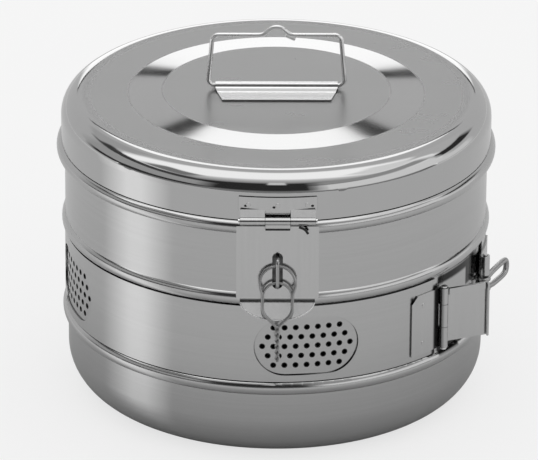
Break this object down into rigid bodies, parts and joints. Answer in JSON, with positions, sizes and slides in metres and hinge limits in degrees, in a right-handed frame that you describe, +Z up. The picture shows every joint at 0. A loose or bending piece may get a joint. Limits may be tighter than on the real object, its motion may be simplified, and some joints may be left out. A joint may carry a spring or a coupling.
{
  "type": "sterilization drum",
  "caption": "Round sheet-steel sterilization drum with a hinged lid, a front hasp, a wire lid handle and a rotating band that opens and closes its steam vents.",
  "frame": {"origin": "centre of the flat base, on the surface it stands on", "axes": "+Z up, the front hasp towards -Y, +X to the right seen from the front"},
  "size_m": [0.3091, 0.3202, 0.2617],
  "materials": {
    "polished_shell": "polished",
    "shutter_sheet": "polished",
    "hinge_sheet": "satin",
    "plated_wire": "polished"
  },
  "bodies": {
    "drum": {"base_pan": "polished_shell", "drum_wall": "polished_shell", "staple_plate": "hinge_sheet", "staple": "plated_wire", "rear_hinge_lower": "hinge_sheet", "rear_hinge_pin": "plated_wire"},
    "lid": {"lid_shell": "polished_shell", "handle_clip": "hinge_sheet", "hasp_top_leaf": "hinge_sheet", "hasp_pin": "plated_wire", "rear_hinge_upper": "hinge_sheet"},
    "handle": {"lid_handle": "plated_wire"},
    "hasp": {"hasp_plate": "hinge_sheet"},
    "seal": {"seal_wire": "plated_wire"},
    "shutter": {"shutter_band": "shutter_sheet", "latch_leaf": "hinge_sheet", "latch_pin": "plated_wire", "keeper_leaf": "hinge_sheet", "keeper_pin": "plated_wire"},
    "latch": {"latch_plate": "hinge_sheet"},
    "loop": {"wire_loop": "plated_wire"}
  },
  "joints": [
    {"name": "lid_open", "type": "hinge", "parent": "drum", "child": "lid", "pos_m": [0, 0.1518, 0.183], "axis": [-1, 0, 0], "range_deg": [0, 105]},
    {"name": "handle_fold", "type": "hinge", "parent": "lid", "child": "handle", "pos_m": [0, 0.0015, 0.2174], "axis": [1, 0, 0], "range_deg": [-90, 90]},
    {"name": "hasp_swing", "type": "hinge", "parent": "lid", "child": "hasp", "pos_m": [0, -0.1518, 0.183], "axis": [-1, 0, 0], "range_deg": [0, 165]},
    {"name": "seal_rock", "type": "hinge", "parent": "drum", "child": "seal", "pos_m": [0, -0.1555, 0.1398], "axis": [-1, 0, 0], "range_deg": [0, 6]},
    {"name": "shutter_turn", "type": "hinge", "parent": "drum", "child": "shutter", "pos_m": [0, 0, 0.09], "axis": [0, 0, 1], "range_deg": [0, 41]},
    {"name": "latch_swing", "type": "hinge", "parent": "shutter", "child": "latch", "pos_m": [0.1135, -0.09592, 0.088], "axis": [0, 0, 1], "range_deg": [-140, 24]},
    {"name": "loop_swing", "type": "hinge", "parent": "shutter", "child": "loop", "pos_m": [0.14315, -0.0424, 0.088], "axis": [0, 0, -1], "range_deg": [0, 145]}
  ]
}
